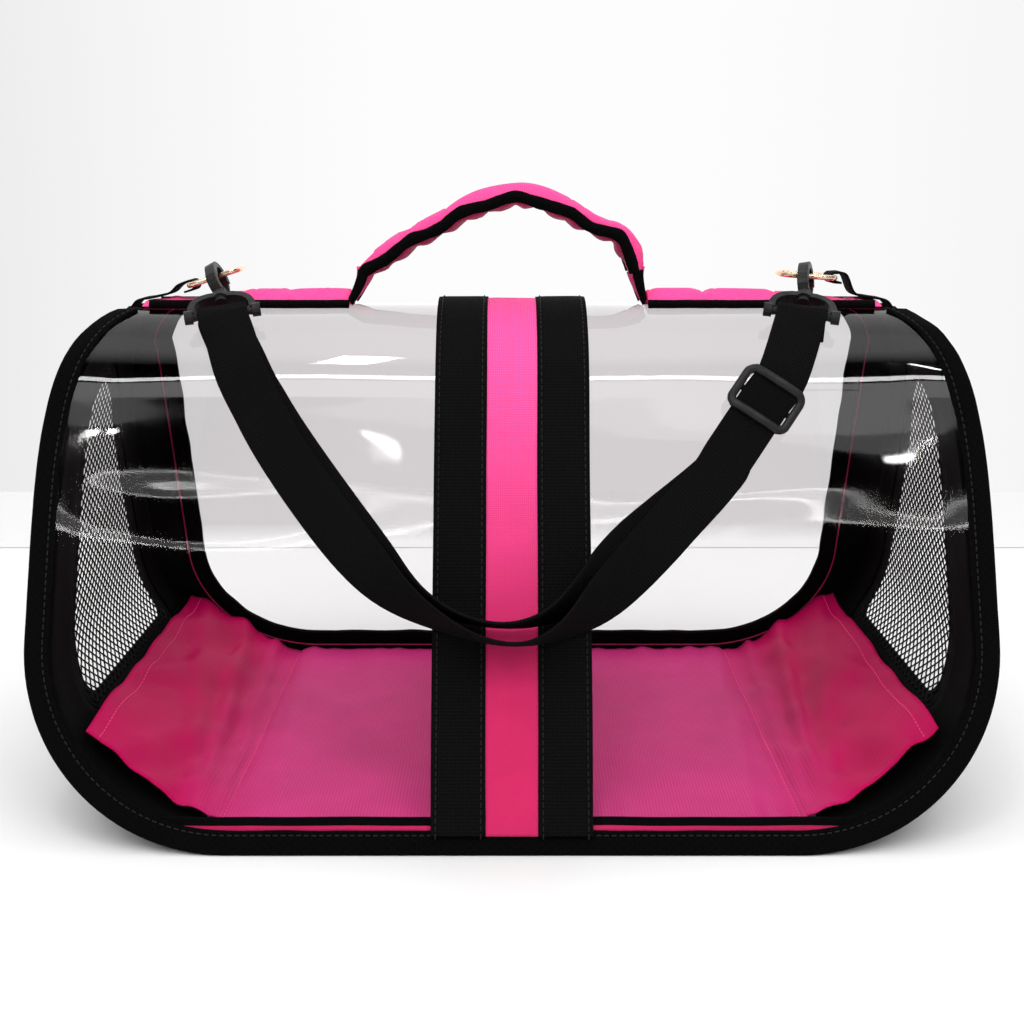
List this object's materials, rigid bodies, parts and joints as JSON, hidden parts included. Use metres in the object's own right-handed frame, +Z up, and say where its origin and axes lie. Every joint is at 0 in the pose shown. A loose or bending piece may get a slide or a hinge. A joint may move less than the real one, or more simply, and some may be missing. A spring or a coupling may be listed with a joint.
{
  "type": "pet carrier bag",
  "caption": "Soft pet carrier bag with a clear front sheet, mesh end doors, a padded top handle, ridge rings and a clip-on shoulder strap.",
  "frame": {"origin": "centre of the footprint, on the ground", "axes": "+Z up, +X along the bag's length towards its right end, -Y towards the clear front sheet"},
  "size_m": [0.468, 0.2934, 0.3069],
  "materials": {
    "clear_film": "clear soft PVC sheet, glossy",
    "panel_fabric": "black coated bag fabric, fine weave",
    "binding_tape": "black ribbed grosgrain tape",
    "black_webbing": "black woven webbing",
    "pink_webbing": "pink webbing with a slight sheen",
    "pink_satin": "pink satin",
    "mesh_fabric": "black knitted mesh",
    "zip_tape": "black coil zip on woven tape",
    "black_metal": "black enamelled zinc",
    "ring_metal": "pale gold plated wire",
    "hook_plastic": "dark grey moulded plastic, satin",
    "base_board": "stiff plastic base board",
    "foam": "closed-cell foam"
  },
  "bodies": {
    "bag": {"front_film": "clear_film", "rear_film": "clear_film", "rear_border": "panel_fabric", "rear_window_binding": "binding_tape", "front_binding": "binding_tape", "rear_binding": "binding_tape", "front_edge_tape": "binding_tape", "front_base_strip": "pink_webbing", "end_panel_left": "panel_fabric", "end_panel_right": "panel_fabric", "zip_track_left": "zip_tape", "zip_track_right": "zip_tape", "base_cover": "panel_fabric", "base_board": "base_board", "base_foam": "foam", "floor_mat": "pink_satin", "band_webbing_left": "black_webbing", "band_webbing_right": "black_webbing", "band_pink": "pink_webbing", "ridge_pad_left": "pink_satin", "ridge_pad_right": "pink_satin", "ridge_edging_front_left": "binding_tape", "ridge_edging_front_right": "binding_tape", "ridge_edging_rear_left": "binding_tape", "ridge_edging_rear_right": "binding_tape", "handle_tab_left": "black_webbing", "handle_tab_right": "black_webbing", "ring_tab_left": "black_webbing", "ring_tab_right": "black_webbing"},
    "door_left": {"door_mesh_left": "mesh_fabric", "door_tape_left": "zip_tape"},
    "door_right": {"door_mesh_right": "mesh_fabric", "door_tape_right": "zip_tape"},
    "slider_left": {"zip_slider_left": "black_metal"},
    "slider_right": {"zip_slider_right": "black_metal"},
    "pull_left": {"zip_pull_left": "black_metal"},
    "pull_right": {"zip_pull_right": "black_metal"},
    "handle": {"handle_cover": "pink_satin", "handle_core": "foam", "handle_edging_front": "binding_tape", "handle_edging_rear": "binding_tape"},
    "ring_left": {"d_ring_left": "ring_metal"},
    "ring_right": {"d_ring_right": "ring_metal"},
    "strap": {"strap_webbing": "black_webbing", "strap_tail": "black_webbing", "swivel_base_left": "hook_plastic", "swivel_base_right": "hook_plastic"},
    "hook_left": {"hook_left": "hook_plastic"},
    "hook_right": {"hook_right": "hook_plastic"},
    "gate_left": {"hook_gate_left": "hook_plastic"},
    "gate_right": {"hook_gate_right": "hook_plastic"},
    "adjuster": {"strap_adjuster": "hook_plastic", "strap_keeper": "black_webbing"}
  },
  "joints": [
    {"name": "door_left_swing", "type": "hinge", "parent": "bag", "child": "door_left", "pos_m": [-0.207, 0, 0.0447], "axis": [0, -1, 0], "range_deg": [0, 95]},
    {"name": "door_right_swing", "type": "hinge", "parent": "bag", "child": "door_right", "pos_m": [0.207, 0, 0.0447], "axis": [0, 1, 0], "range_deg": [0, 95]},
    {"name": "zip_left_slide", "type": "slide", "parent": "door_left", "child": "slider_left", "axis": [0.0085, 0.3861, 0.9224], "range_m": [-0.06, 0.03]},
    {"name": "zip_right_slide", "type": "slide", "parent": "door_right", "child": "slider_right", "axis": [-0.0085, 0.3861, 0.9224], "range_m": [-0.06, 0.03]},
    {"name": "pull_left_swing", "type": "hinge", "parent": "slider_left", "child": "pull_left", "pos_m": [-0.22696, -0.04929, 0.1407], "axis": [-0.0035, 0.9225, -0.386], "range_deg": [0, 150]},
    {"name": "pull_right_swing", "type": "hinge", "parent": "slider_right", "child": "pull_right", "pos_m": [0.22696, -0.04929, 0.1407], "axis": [-0.0035, -0.9225, 0.386], "range_deg": [0, 150]},
    {"name": "handle_fold", "type": "hinge", "parent": "bag", "child": "handle", "pos_m": [-0.0075, 0, 0.2605], "axis": [1, 0, 0], "range_deg": [-75, 75], "stiffness_Nm_per_rad": 0.05},
    {"name": "ring_left_rock", "type": "hinge", "parent": "bag", "child": "ring_left", "pos_m": [-0.168, 0, 0.25546], "axis": [0, -1, 0], "range_deg": [0, 4]},
    {"name": "ring_right_rock", "type": "hinge", "parent": "bag", "child": "ring_right", "pos_m": [0.168, 0, 0.25942], "axis": [0, 1, 0], "range_deg": [-1, 3]},
    {"name": "strap_swing", "type": "hinge", "parent": "bag", "child": "strap", "pos_m": [0, -0.012, 0.2605], "axis": [-1, 0, 0], "range_deg": [0, 90]},
    {"name": "hook_left_swivel", "type": "hinge", "parent": "strap", "child": "hook_left", "pos_m": [-0.1525, -0.012, 0.2605], "axis": [0.2145, -0.8288, -0.5168], "range_deg": [-15, 0]},
    {"name": "hook_right_swivel", "type": "hinge", "parent": "strap", "child": "hook_right", "pos_m": [0.1525, -0.012, 0.2605], "axis": [-0.2145, -0.8288, -0.5168], "range_deg": [-15, 5]},
    {"name": "gate_left_press", "type": "hinge", "parent": "hook_left", "child": "gate_left", "pos_m": [-0.14796, -0.01629, 0.25147], "axis": [0.8779, -0.0683, 0.474], "range_deg": [0, 20], "stiffness_Nm_per_rad": 0.02},
    {"name": "gate_right_press", "type": "hinge", "parent": "hook_right", "child": "gate_right", "pos_m": [0.15234, -0.01695, 0.2507], "axis": [0.9289, -0.3366, 0.1543], "range_deg": [0, 20], "stiffness_Nm_per_rad": 0.02},
    {"name": "adjuster_slide", "type": "slide", "parent": "strap", "child": "adjuster", "axis": [0.5591, 0.32, 0.7649], "range_m": [-0.034, 0], "deforming": ["strap_tail"]}
  ]
}
